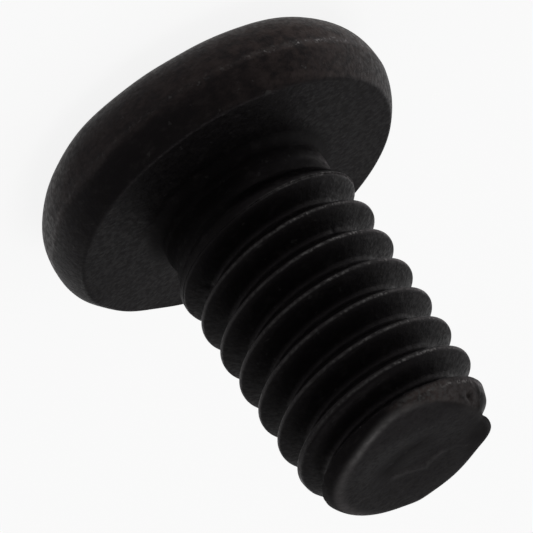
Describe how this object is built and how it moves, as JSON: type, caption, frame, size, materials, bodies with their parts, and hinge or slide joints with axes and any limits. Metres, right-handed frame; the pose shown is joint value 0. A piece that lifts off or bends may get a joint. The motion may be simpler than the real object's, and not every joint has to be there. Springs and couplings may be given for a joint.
{
  "type": "button head machine screw",
  "caption": "Short black steel machine screw with a low domed head, a hexagon socket and a full-length right-hand thread, for clamping a part to a tapped hole or nut.",
  "frame": {"origin": "centre of the flat top of the head, which the screw stands on", "axes": "+Z along the screw's axis, from the head to the thread's end; X and Y across it"},
  "size_m": [0.0072, 0.0072, 0.0083],
  "materials": {
    "black_steel": "satin"
  },
  "bodies": {
    "root": {"screw": "black_steel"}
  },
  "joints": []
}
